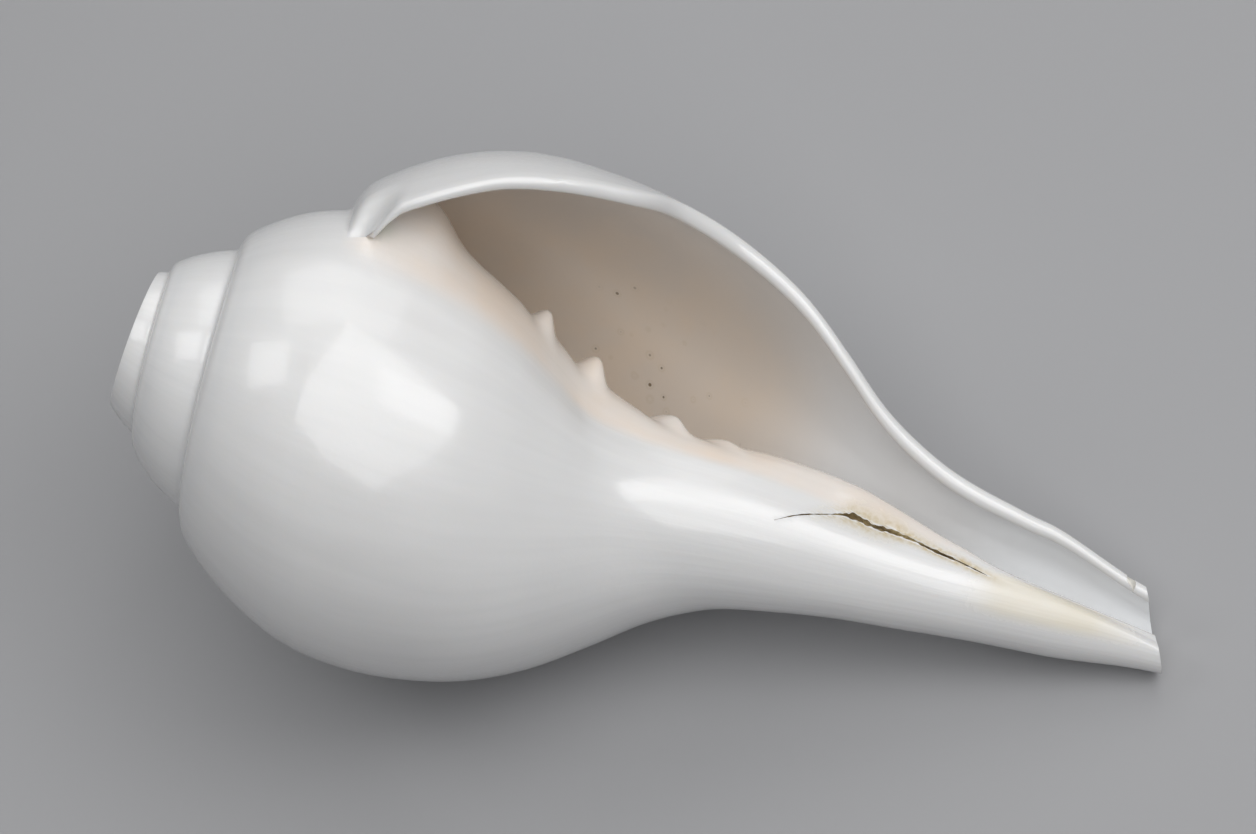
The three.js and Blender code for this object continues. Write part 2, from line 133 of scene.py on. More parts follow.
# Kinds of surface, and the closed bodies that are cut away
OUTSIDE, LINING, GROUND, STAINED, CUTTER = range(5)
FINISH_NAMES = ("Polished Shell", "Mouth Lining", "Ground Shell", "Stained Chink")

# The photograph looks at this point about the coil axis, mm, with the axis sloping down to the right
PICTURE_CENTRE = (69.87, 13.117, 0)
PICTURE_TILT = 20
# Width that the picture spans at the coil axis, mm
PICTURE_WIDTH = 179.43
# Softboxes: name, direction to the right, up and towards the viewer, distance, width, height, share of power
SOFTBOXES = (
    ("Top Softbox", (-0.1, 0.92, 0.3), 0.6, 0.7, 0.4, 0.4),
    ("Left Softbox", (-0.72, 0.42, 0.46), 0.6, 0.2, 0.24, 0.14),
    ("Right Softbox", (0.45, 0.34, 0.8), 0.75, 0.26, 0.36, 0.18),
    ("Front Softbox", (0.12, 0.27, 1.0), 1.2, 1.6, 1.2, 5.3),
)


class ShellSizes(bpy.types.PropertyGroup):
    """Sizes of the shell, in millimetres, turns and degrees about its coil axis"""

    length: FloatProperty(name="Length", description="From the saw cut to the canal's end, mm", default=151.8)
    lost_apex: FloatProperty(name="Lost Apex", description="Height of the sawn-off point, mm", default=11.9)
    growth: FloatProperty(name="Growth", description="How much larger each whorl is", default=1.62)
    suture_reach: FloatProperty(
        name="Suture Reach", description="From the lost apex to the suture at the lip, mm", default=35.9
    )
    lip_angle: FloatProperty(
        name="Lip Angle", description="How far the lip's start stands round from the top, degrees", default=30.0
    )
    lip_turn: FloatProperty(name="Lip Turn", description="Growth turn at which the lip starts", default=0.0167)
    melt: FloatProperty(name="Melt", description="Turns in which the lip's start sinks away", default=0.03)
    lip: FloatProperty(name="Lip", description="Thickness of the lip's edge, mm", default=2.0)
    wall: FloatProperty(name="Wall", description="Thickness of the wall behind the lip, mm", default=3.8)
    thin_wall: FloatProperty(name="Thin Wall", description="Least thickness, in the spire, mm", default=1.8)
    suture_step: FloatProperty(name="Suture Step", description="How soon a whorl swells, mm", default=0.5)
    corner: FloatProperty(name="Corner", description="Wall above the mouth's corner, mm", default=2.6)
    floor: FloatProperty(name="Mouth Floor", description="Where the last hollow closes, mm", default=112.0)
    belly_lean: FloatProperty(name="Belly Lean", description="Lean of the belly to the canal", default=0.05)
    tip_taper: FloatProperty(name="Tip Taper", description="How much the canal's end narrows", default=0.33)
    tip_slant: FloatProperty(name="Tip Slant", description="Slope of the canal's ground end", default=0.58)
    tip_centre: FloatProperty(name="Tip Centre", description="Line the slant turns about, mm", default=8.5)
    hole_radius: FloatProperty(name="Blow Hole Radius", description="In the saw cut, mm", default=5.5)
    hole_depth: FloatProperty(name="Blow Hole Depth", description="Below the saw cut, mm", default=21.0)
    chink_width: FloatProperty(name="Chink Width", description="At the skin, mm", default=0.6)
    chink_depth: FloatProperty(name="Chink Depth", description="Below the skin, mm", default=0.9)
    roll: FloatProperty(name="Roll", description="Turned about the coil axis at rest, degrees", default=24.95)
    pitch: FloatProperty(name="Pitch", description="Tipped with the canal down at rest, degrees", default=20.22)
    columns: IntProperty(name="Columns", description="Steps round one whorl", default=144, min=24)
    coil_origin: FloatVectorProperty(
        name="Coil Origin", description="Where the coil axis meets the saw cut", unit="LENGTH", subtype="XYZ"
    )


class ShellFinish(bpy.types.PropertyGroup):
    """Colours and gloss of the shell"""

    porcelain: FloatVectorProperty(
        name="Porcelain", description="The polished outside", subtype="COLOR", default=(0.855, 0.85, 0.845)
    )
    shade: FloatVectorProperty(
        name="Shade", description="Thinner, greyer growth", subtype="COLOR", default=(0.78, 0.775, 0.77)
    )
    blush: FloatVectorProperty(
        name="Blush", description="Callus and plaits", subtype="COLOR", default=(0.92, 0.77, 0.64)
    )
    throat: FloatVectorProperty(
        name="Throat", description="The mouth's deep lining", subtype="COLOR", default=(0.90, 0.78, 0.655)
    )
    canal: FloatVectorProperty(
        name="Canal", description="The lining near the lip and canal", subtype="COLOR",
        default=(0.90, 0.915, 0.93),
    )
    dirt: FloatVectorProperty(
        name="Dirt", description="Dirt in the chink and pits", subtype="COLOR", default=(0.2, 0.14, 0.06)
    )
    stain: FloatVectorProperty(
        name="Stain", description="Yellow-brown stain round the chink", subtype="COLOR",
        default=(0.57, 0.45, 0.23),
    )
    worn: FloatVectorProperty(
        name="Worn", description="Cream patch beside the canal", subtype="COLOR", default=(0.81, 0.755, 0.64)
    )
    moss: FloatVectorProperty(
        name="Green", description="Tint in the mouth's upper corner", subtype="COLOR",
        default=(0.50, 0.62, 0.48),
    )
    chalk: FloatVectorProperty(
        name="Chalk", description="Sawn and ground faces", subtype="COLOR", default=(0.84, 0.83, 0.80)
    )
    gloss: FloatProperty(name="Roughness", description="Of the polish", default=0.2, min=0.0, max=1.0)


class StageSettings(bpy.types.PropertyGroup):
    """Floor, lights and camera"""

    floor_colour: FloatVectorProperty(
        name="Floor", description="Plain pale floor", subtype="COLOR", default=(0.37, 0.37, 0.38)
    )
    camera_distance: FloatProperty(
        name="Camera Distance", description="From the coil axis", unit="LENGTH", default=0.7
    )
    light_power: FloatProperty(name="Light", description="Power of the softboxes, watts", default=2.5)


def smoothstep(value, start, end):
    share = np.clip((value - start) / (end - start), 0, 1)
    return share * share * (3 - 2 * share)


def curve_through(points):
    """A smooth curve through points in order of their first number, straight beyond its ends."""
    at, height = np.array(points, float).T
    width = np.diff(at)
    slope = np.diff(height) / width
    inner = (slope[:-1] * width[1:] + slope[1:] * width[:-1]) / (width[1:] + width[:-1])
    tangent = np.concatenate((slope[:1], inner, slope[-1:]))

    def curve(value):
        k = np.clip(np.searchsorted(at, value) - 1, 0, len(width) - 1)
        share = (value - at[k]) / width[k]
        inside = np.clip(share, 0, 1)
        rest = 1 - inside
        smooth = (
            (1 + 2 * inside) * rest * rest * height[k]
            + inside * rest * rest * width[k] * tangent[k]
            + inside * inside * (3 - 2 * inside) * height[k + 1]
            - inside * inside * rest * width[k] * tangent[k + 1]
        )
        before = np.minimum(share, 0) * width[k] * tangent[k]
        after = np.maximum(share - 1, 0) * width[k] * tangent[k + 1]
        return smooth + before + after

    return curve


class Coil:
    """The rule by which the shell grows: radii of its faces at a turn and a height."""

    def __init__(self, sizes):
        self.sizes = sizes
        self.top_turn = -sizes.lip_angle / 360
        self.whorl_curve = curve_through(WHORL_OUTLINE)
        self.pillar_curve = curve_through(PILLAR_OUTLINE)
        self.columella_curve = curve_through(COLUMELLA_OUTLINE)
        self.bend = curve_through(AXIS_BEND)
        self.chink_turn = curve_through(CHINK_PATH)
        self.lag = curve_through(LIP_LAG)
        self.fold = curve_through(CANAL_FOLD)

    def growth(self, turn):
        return self.sizes.growth**turn

    def suture(self, turn):
        return self.sizes.suture_reach * self.growth(turn) - self.sizes.lost_apex

    def bare_whorl(self, turn, height):
        """Radius of a whorl as if nothing covered it."""
        size = self.growth(turn)
        return size * self.whorl_curve((height + self.sizes.lost_apex) / size)

    def level_at_top(self, turn, height):
        """Height at the top line of the spiral that passes this turn and height."""
        return (height + self.sizes.lost_apex) / self.growth(turn - self.top_turn + 1) - self.sizes.lost_apex

    def plaits(self, turn, height):
        level = self.level_at_top(turn, height)
        rise = np.zeros(np.broadcast(turn, height).shape)
        for crest, tall, width in PLAITS:
            offset = level - crest
            steep = np.where(offset < 0, width, width * PLAIT_STEEPNESS)
            groove = np.exp(-(((offset + width * 1.5) / (width * 0.8)) ** 2))
            rise = rise + tall * (np.exp(-((offset / steep) ** 2)) - PLAIT_GROOVE * groove)
        fade = smoothstep(turn, -1.01, -1.07) * smoothstep(turn, -3, -1.6)
        return rise * fade * self.growth(turn - self.top_turn + 1)

    def columella(self, turn, height):
        size = self.growth(turn - self.top_turn + 1)
        return size * self.columella_curve(self.level_at_top(turn, height)) + self.plaits(turn, height)

    def in_mouth(self, turn, height):
        """How far a place on the rolled wall lies inside the mouth, from 0 to 1."""
        next_suture = self.suture(turn + 1)
        next_size = self.growth(turn + 1)
        past = smoothstep(height, next_suture - 0.5 * next_size, next_suture + 2.5 * next_size)
        fold = self.fold(height)
        width = FOLD_WIDTH - FOLD_NARROWING * smoothstep(height, 112, 140)
        return smoothstep(turn, fold, fold - width) * past

    def chink_ledge(self, turn, height):
        """The callus stands a little proud along the chink."""
        gap = (self.chink_turn(height) - turn) * PILLAR_ROUND
        along = smoothstep(height, 100, 105) * smoothstep(height, 127, 120)
        return LEDGE_RISE * smoothstep(gap, -0.4, 0.5) * smoothstep(gap, 7, 2) * along

    def outer(self, turn, height):
        """Radius of the rolled wall's outer face, which turns into the columella inside the mouth."""
        turn, height = np.broadcast_arrays(np.asarray(turn, float), np.asarray(height, float))
        size = self.growth(turn)
        inside = self.in_mouth(turn, height)
        whorl = self.bare_whorl(turn, height)
        pillar = self.pillar_curve(height)
        overlap = np.maximum(3 - np.abs(whorl - pillar), 0) / 3
        whorl = np.maximum(whorl, pillar) + overlap * overlap * 0.75
        radius = whorl * (1 - inside) + self.columella(turn, height) * inside
        past = height - self.suture(turn)
        covered = self.bare_whorl(turn - 1, height)
        swollen = 1 - np.exp(-np.maximum(past, 0) / (self.sizes.suture_step * size))
        at_start = smoothstep(turn, self.sizes.lip_turn - self.sizes.melt, self.sizes.lip_turn)
        swollen = swollen * (1 - at_start * smoothstep(past, 6, 1.5))
        radius = np.where(past > 12 * size, radius, covered + (radius - covered) * swollen)
        radius = radius + self.chink_ledge(turn, height)
        return radius * (1 - self.sizes.tip_taper * smoothstep(height, 134, 156))

    def wall(self, turn, height):
        sizes = self.sizes
        lip = sizes.lip * (1 - LIP_THINNING * smoothstep(height, 55, 85))
        full = lip + (sizes.wall - lip) * smoothstep(turn, sizes.lip_turn, sizes.lip_turn - 0.16)
        thick = np.maximum(full * self.growth(turn) ** 0.7, sizes.thin_wall)
        return thick * (1 - CANAL_THINNING * smoothstep(height, 110, 150))

    def hollow_top(self, turn):
        return self.suture(turn) + self.sizes.corner * self.growth(turn)

    def hollow_floor(self, turn):
        grown = (self.sizes.floor + self.sizes.lost_apex) * self.growth(turn + 0.5) - self.sizes.lost_apex
        return grown + 90 * smoothstep(turn, -0.62, -0.3)

    def inner(self, turn, height, floor=None):
        """Radius of the rolled wall's inner face, over a hollow that closes at the floor."""
        turn, height = np.broadcast_arrays(np.asarray(turn, float), np.asarray(height, float))
        size = self.growth(turn)
        floor = self.hollow_floor(turn) if floor is None else floor
        columella = self.outer(turn - 1, height)
        gap = np.maximum(self.outer(turn, height) - self.wall(turn, height) - columella, 0.05)
        from_top = np.clip((height - self.hollow_top(turn)) / (5 * size), 0, 1)
        from_floor = np.clip((floor - height) / (16 * size), 0, 1)
        rounding = np.sqrt(1 - (1 - from_top) ** 2) * np.sqrt(1 - (1 - from_floor) ** 2)
        return columella + gap * rounding

    def lagged(self, turn, height):
        """The lip's edge stands back from its start, so the last growth is turned back with height."""
        lag = np.maximum(self.lag(height), 0)
        return turn - lag / 360 * smoothstep(turn, -0.3, self.sizes.lip_turn)

    def row_heights(self, turn, levels):
        """Heights of the mouth's rows, which follow the plaits inside the mouth and are even outside it."""
        sizes = self.sizes
        top = self.hollow_top(turn + 1)
        wound = self.growth(turn - self.top_turn + 1) * (levels + sizes.lost_apex) - sizes.lost_apex
        straighten = smoothstep(levels, 90, sizes.length)
        follows_plaits = wound * (1 - straighten) + levels * straighten
        even = top + (sizes.length - top) * np.linspace(0, 1, levels.size)
        outside = smoothstep(turn, -1, -0.72)
        return follows_plaits * (1 - outside) + even * outside


class Skin:
    """Points and triangles of the shell unrolled: each point is its turn, height and radius."""

    def __init__(self):
        self.points = []
        self.roles = []
        self.triangles = []
        self.finishes = []
        self.count = 0

    def add_points(self, turn, height, radius, role):
        turn, height, radius = np.broadcast_arrays(turn, height, radius)
        self.points.append(np.stack((turn, height, radius), axis=-1).reshape(-1, 3))
        self.roles.append(np.full(turn.size, role))
        self.count += turn.size
        return np.arange(self.count - turn.size, self.count).reshape(turn.shape)

    def add_triangles(self, corners, finish):
        corners = np.array(corners).reshape(-1, 3)
        first, second, third = corners.T
        real = (first != second) & (second != third) & (third != first)
        self.triangles.append(corners[real])
        self.finishes.append(np.full(real.sum(), finish))

    def add_grid(self, ids, finish, flip=False):
        """Faces between neighbouring columns and rows of points."""
        self.add_triangles(grid_triangles(ids, flip), finish)

    def add_tube(self, ids, finish):
        """A closed body wrapped round rings of points, capped straight across at both ends."""
        ring = ids.shape[1]
        walls = grid_triangles(np.concatenate((ids, ids[:, :1]), axis=1))
        near = np.arange(ring // 2)
        far = (ring - near) % ring
        first = split_quads(ids[0, near], ids[0, near + 1], ids[0, ring - near - 1], ids[0, far])
        last = split_quads(ids[-1, far], ids[-1, ring - near - 1], ids[-1, near + 1], ids[-1, near])
        corners = np.concatenate((walls, first, last))
        a, b, c = np.concatenate(self.points)[corners.T]
        volume = np.einsum("ij,ij->i", a, np.cross(b, c)).sum()
        self.add_triangles(corners if volume > 0 else corners[:, ::-1], finish)


def split_quads(a, b, c, d):
    halves = np.stack((np.stack((a, b, c), axis=-1), np.stack((a, c, d), axis=-1)))
    return halves.reshape(-1, 3)


def grid_triangles(ids, flip=False):
    corners = split_quads(ids[:-1, :-1], ids[1:, :-1], ids[1:, 1:], ids[:-1, 1:])
    return corners[:, ::-1] if flip else corners


def join_edges(first, first_height, second, second_height):
    """Triangles between two edges that run down the lip with rows at different heights."""
    corners = []
    at = 0
    across = 0
    while at < len(first) - 1 or across < len(second) - 1:
        next_first = first_height[at + 1] if at < len(first) - 1 else math.inf
        next_second = second_height[across + 1] if across < len(second) - 1 else math.inf
        if next_first <= next_second:
            corners.append((first[at + 1], first[at], second[across]))
            at += 1
        else:
            corners.append((first[at], second[across], second[across + 1]))
            across += 1
    return corners


def grow_lip(coil, skin, outer_edge, outer_height, inner_edge, height):
    """The rounded edge of the lip. Returns the points where it meets the canal's ground end."""
    turn = coil.lagged(coil.sizes.lip_turn, height)
    outside = coil.outer(turn, height)
    inside = coil.inner(turn, height)
    middle = (outside + inside) / 2
    half = (outside - inside) / 2
    round_edge = np.linspace(0, math.pi, LIP_ARCS + 2)[1:-1, None]
    radius = middle + half * np.cos(round_edge)
    forward = 0.9 * half * np.sin(round_edge) / (2 * math.pi * radius)
    arcs = np.empty((LIP_ARCS + 1, len(height)), int)
    arcs[:-1, 1:] = skin.add_points((turn + forward)[:, 1:], height[1:], radius[:, 1:], OUTSIDE)
    arcs[:-1, 0] = inner_edge[0]
    arcs[-1] = inner_edge
    skin.add_triangles(join_edges(outer_edge, outer_height, arcs[0], height), OUTSIDE)
    skin.add_grid(arcs, OUTSIDE)
    return arcs[:-1, -1]


def grind_canal_end(skin, loop):
    """The flat end of the canal, filled within its outline."""
    turn, _, radius = np.concatenate(skin.points)[loop].T
    angle = 2 * math.pi * turn
    flat = [Vector((side, front, 0)) for side, front in zip(radius * np.cos(angle), radius * np.sin(angle))]
    for a, b, c in tessellate_polygon([flat]):
        upright = (flat[b] - flat[a]).cross(flat[c] - flat[a]).z > 0
        skin.add_triangles((loop[a], loop[b], loop[c]) if upright else (loop[a], loop[c], loop[b]), GROUND)


def grow_skin(coil):
    """The whole shell but for its deep hollow, as one closed skin."""
    sizes = coil.sizes
    per_turn = sizes.columns
    first_column = -round(SPIRE_TURNS * per_turn)
    mouth_column = -round(MOUTH_TURNS * per_turn)
    skin = Skin()

    column = np.arange(first_column, 1)
    turn = column[:, None] / per_turn + sizes.lip_turn
    share = np.linspace(0, 1, WHORL_ROWS + 1) ** 1.6
    whorl_height = coil.suture(turn) * (1 - share) + coil.suture(turn + 1) * share
    grown = coil.lagged(turn, whorl_height)
    radius = coil.outer(grown, whorl_height)
    whorl = np.empty(whorl_height.shape, int)
    whorl[:, 1:] = skin.add_points(grown[:, 1:], whorl_height[:, 1:], radius[:, 1:], OUTSIDE)
    whorl[:per_turn, 0] = skin.add_points(
        grown[:per_turn, 0], whorl_height[:per_turn, 0], radius[:per_turn, 0], OUTSIDE
    )
    whorl[per_turn:, 0] = whorl[:-per_turn, -1]

    column = np.arange(mouth_column - per_turn, 1)
    turn = column[:, None] / per_turn + sizes.lip_turn
    levels = np.concatenate([np.linspace(*rows, endpoint=False) for rows in MOUTH_LEVELS] + [[sizes.length]])
    height = coil.row_heights(turn, levels)
    above = column + per_turn
    floor = coil.hollow_floor(above / per_turn + sizes.lip_turn)
    open_column = above[(floor >= sizes.length) & (above <= 0)].min()
    floor = np.minimum(floor, sizes.length)
    floor = np.where(above < open_column - 1, floor, sizes.length)[:, None]
    top = coil.hollow_top(turn + 1)
    squeezed = top + (height - top) * (floor - top) / (sizes.length - top)
    height = np.where(above[:, None] <= 0, squeezed, height)
    grown = coil.lagged(turn, height)
    mouth = skin.add_points(grown, height, coil.outer(grown, height), OUTSIDE)

    lined = 1 - mouth_column
    column = np.arange(mouth_column, 1)
    turn = column[:, None] / per_turn + sizes.lip_turn
    lining_height = height[:lined]
    lining_floor = np.maximum(coil.hollow_floor(turn), floor[:lined])
    grown = coil.lagged(turn, lining_height)
    radius = coil.inner(grown, lining_height, lining_floor)
    shared = np.zeros(radius.shape, bool)
    shared[:, 0] = True
    shared[column < open_column, -1] = True
    lining = mouth[:lined].copy()
    lining[~shared] = skin.add_points(grown[~shared], lining_height[~shared], radius[~shared], LINING)

    skin.add_grid(whorl, OUTSIDE)
    skin.add_grid(np.stack((whorl[-per_turn - 1:, -1], mouth[-per_turn - 1:, 0]), axis=1), OUTSIDE)
    skin.add_grid(mouth, OUTSIDE)
    skin.add_grid(lining, LINING, flip=True)
    skin.add_grid(np.stack((mouth[0], lining[0])), LINING, flip=True)

    outer_edge = np.concatenate((whorl[-1], mouth[-1]))
    outer_height = np.concatenate((whorl_height[-1], height[-1]))
    lip_end = grow_lip(coil, skin, outer_edge, outer_height, lining[-1], lining_height[-1])
    outer_loop = mouth[-per_turn - 1:, -1]
    inner_loop = lining[column >= open_column, -1][::-1]
    columella_loop = mouth[above < 0][open_column - 1 - mouth_column:, -1]
    grind_canal_end(skin, np.concatenate((outer_loop, lip_end, inner_loop, columella_loop)))

    tip = skin.add_points(0, -sizes.lost_apex, 0, OUTSIDE)
    ends = whorl[0]
    skin.add_triangles(np.stack((ends[:-1], ends[1:], np.full(WHORL_ROWS, tip)), axis=-1), OUTSIDE)
    start = whorl[: per_turn + 1, 0]
    skin.add_triangles(np.stack((start[1:], start[:-1], np.full(per_turn, tip)), axis=-1), OUTSIDE)
    return skin


def carve_hollow(coil, skin):
    """The hollow of the earlier whorls, as a closed winding body."""
    half = HOLLOW_ROWS
    turn = np.linspace(DEEPEST_TURN, 0.05 - MOUTH_TURNS, HOLLOW_STEPS)[:, None]
    top = np.maximum(coil.hollow_top(turn), 1.2) + 0.6
    floor = coil.hollow_floor(turn) - 1.5
    side = np.arange(2 * half)
    height = top + (floor - top) * 0.5 * (1 - np.cos(math.pi * side / half))
    low = coil.outer(turn - 1, height) + HOLLOW_CLEARANCE
    high = np.maximum(coil.inner(turn, height) - HOLLOW_CLEARANCE, low + 0.1)
    radius = np.where(side % half == 0, (low + high) / 2, np.where(side < half, high, low))
    skin.add_tube(skin.add_points(turn, height, radius, CUTTER), LINING)


def carve_chink(coil, skin):
    """A ragged groove along the chink, standing from above the skin to its bottom."""
    sizes = coil.sizes
    height = np.linspace(CHINK_PATH[0][0], CHINK_PATH[-1][0], CHINK_STEPS)[:, None]
    share = np.linspace(0.02, 0.98, CHINK_STEPS)[:, None]
    turn = coil.chink_turn(height)
    surface = coil.outer(turn, height)
    taper = np.sin(math.pi * share) ** 0.5
    ragged = 1 + 0.25 * np.sin(height * 2.9) + 0.2 * np.sin(height * 5.3 + 1) + 0.3 * np.sin(height * 0.9 + 2)
    flaked = 0.4 + 0.5 * smoothstep(height, 102, 105) * smoothstep(height, 112, 108)
    width = 0.5 * sizes.chink_width * taper * ragged * flaked
    depth = sizes.chink_depth * taper * (0.8 + 0.2 * np.sin(height * 1.7))
    around = np.linspace(0, 2 * math.pi, 12, endpoint=False)
    sunk = np.where(np.cos(around) > 0, 1.5 * np.cos(around), depth * np.cos(around))
    across = width * np.sin(around) * np.where(np.cos(around) > 0, 1.3, 1)
    skin.add_tube(
        skin.add_points(turn + across / (2 * math.pi * surface), height, surface + sunk, CUTTER), STAINED
    )


def carve_chip(coil, skin):
    """A small flake knocked off the lip beside the canal's end."""
    turn = coil.lagged(coil.sizes.lip_turn, CHIP_HEIGHT)
    radius = coil.outer(turn, CHIP_HEIGHT) - 0.8
    along = np.linspace(-0.96, 0.96, 13)[:, None]
    around = np.linspace(0, 2 * math.pi, 16, endpoint=False)
    wide = np.sqrt(1 - along**2) * (1 + 0.12 * np.sin(3 * around + 4 * along))
    aside = CHIP_HALF_WIDTH * wide * np.sin(around) / (2 * math.pi * radius)
    height = CHIP_HEIGHT + CHIP_HALF_LENGTH * along
    outwards = CHIP_HALF_WIDTH * wide * np.cos(around)
    skin.add_tube(skin.add_points(turn + aside, height, radius + outwards, CUTTER), GROUND)


def colour_masks(coil, points, roles):
    """Where the shell's colours change, as a share at each point."""
    turn, height, _ = points.T
    outside = roles == OUTSIDE
    lining = roles == LINING
    past_suture = smoothstep(height - coil.suture(turn + 1), -0.2, 0.8)
    callus = smoothstep(turn, -0.95, -0.985) * past_suture * outside * (height > 20)
    from_chink = (turn - coil.chink_turn(height)) * PILLAR_ROUND
    along_chink = smoothstep(height, 97, 104) * smoothstep(height, 129, 123)
    stain_width = 1.0 + 0.8 * smoothstep(height, 101, 105) * smoothstep(height, 114, 110)
    patch = smoothstep(height, 121, 128) * smoothstep(height, 151, 144)
    pit_belt = smoothstep(height, 58, 62) * smoothstep(height, 88, 82)
    return {
        "blush": callus * (1 - 0.6 * smoothstep(height, 100, 125)),
        "stain": np.exp(-((from_chink / stain_width) ** 2)) * along_chink * outside,
        "worn": patch * smoothstep(turn, -0.955, -0.915) * smoothstep(turn, -0.73, -0.8) * outside,
        "moss": np.exp(-(((turn + 0.998) / 0.01) ** 2) - ((height - 28) / 2) ** 2) * outside,
        "throat": smoothstep(turn, -0.03, -0.2) * smoothstep(height, 104, 82) * lining,
        "pitted": smoothstep(turn, -0.165, -0.2) * pit_belt * lining,
    }


class Nodes:
    """Adds nodes to a tree, sets them up and links them."""

    def __init__(self, tree):
        self.tree = tree

    def add(self, kind, inputs=None, **settings):
        node = self.tree.nodes.new(kind)
        for name, value in settings.items():
            setattr(node, name, value)
        for key, value in (inputs or {}).items():
            self.feed(node.inputs[key], value)
        return node

    def feed(self, socket, value):
        if isinstance(value, bpy.types.NodeSocket):
            self.tree.links.new(value, socket)
        else:
            socket.default_value = value

    def math(self, operation, *values):
        node = self.add("ShaderNodeMath", operation=operation)
        for socket, value in zip(node.inputs, values):
            self.feed(socket, value)
        return node.outputs[0]

    def ramp(self, value, start, end, low=0.0, high=1.0):
        """A smooth step from low to high while the value goes from start to end."""
        inputs = {"Value": value, "From Min": start, "From Max": end, "To Min": low, "To Max": high}
        return self.add("ShaderNodeMapRange", inputs, interpolation_type="SMOOTHSTEP").outputs["Result"]

    def mix(self, share, first, second):
        node = self.add("ShaderNodeMix", data_type="RGBA")
        sockets = [socket for socket in node.inputs if socket.enabled]
        for socket, value in zip(sockets, (share, first, second)):
            self.feed(socket, value)
        return next(socket for socket in node.outputs if socket.enabled)

    def attribute(self, name):
        return self.add("ShaderNodeAttribute", attribute_name=name)

    def stored(self, name, kind):
        """A named attribute of the mesh, read in a geometry tree."""
        node = self.add("GeometryNodeInputNamedAttribute", {"Name": name}, data_type=kind)
        return node.outputs["Attribute"]


def add_socket(tree, name, kind, direction="INPUT", default=None):
    socket = tree.interface.new_socket(name=name, in_out=direction, socket_type=f"NodeSocket{kind}")
    if default is not None:
        socket.default_value = default
    return socket


def wind_round(nodes, start, unrolled):
    """The place about the coil axis, in millimetres, of a point's turn, height and radius."""
    turn, height, radius = nodes.add("ShaderNodeSeparateXYZ", {0: unrolled}).outputs
    bend = nodes.stored("bend", "FLOAT")
    angle = nodes.math("MULTIPLY_ADD", turn, 2 * math.pi, start["Lip Angle"])
    side = nodes.math("MULTIPLY_ADD", radius, nodes.math("COSINE", angle), bend)
    front = nodes.math("MULTIPLY", radius, nodes.math("SINE", angle))
    reach = nodes.math("SQRT", nodes.math("MULTIPLY_ADD", side, side, 64.0))
    below = nodes.math("MULTIPLY", nodes.math("SUBTRACT", reach, side), 0.5)
    belly = nodes.math("ADD", nodes.ramp(height, 15.0, 30.0), nodes.ramp(height, 40.0, 75.0))
    belly = nodes.math("MULTIPLY", belly, nodes.ramp(height, 90.0, 118.0, 1.0, 0.0))
    lean = nodes.math("MULTIPLY", nodes.math("MULTIPLY", below, belly), start["Belly Lean"])
    aside = nodes.math("SUBTRACT", side, start["Tip Centre"])
    sloped = nodes.math("MULTIPLY", nodes.ramp(height, 118.0, start["Length"]), start["Tip Slant"])
    slant = nodes.math("MULTIPLY", sloped, aside)
    along = nodes.math("SUBTRACT", nodes.math("ADD", height, lean), slant)
    return nodes.add("ShaderNodeCombineXYZ", {"X": along, "Y": side, "Z": front}).outputs[0]


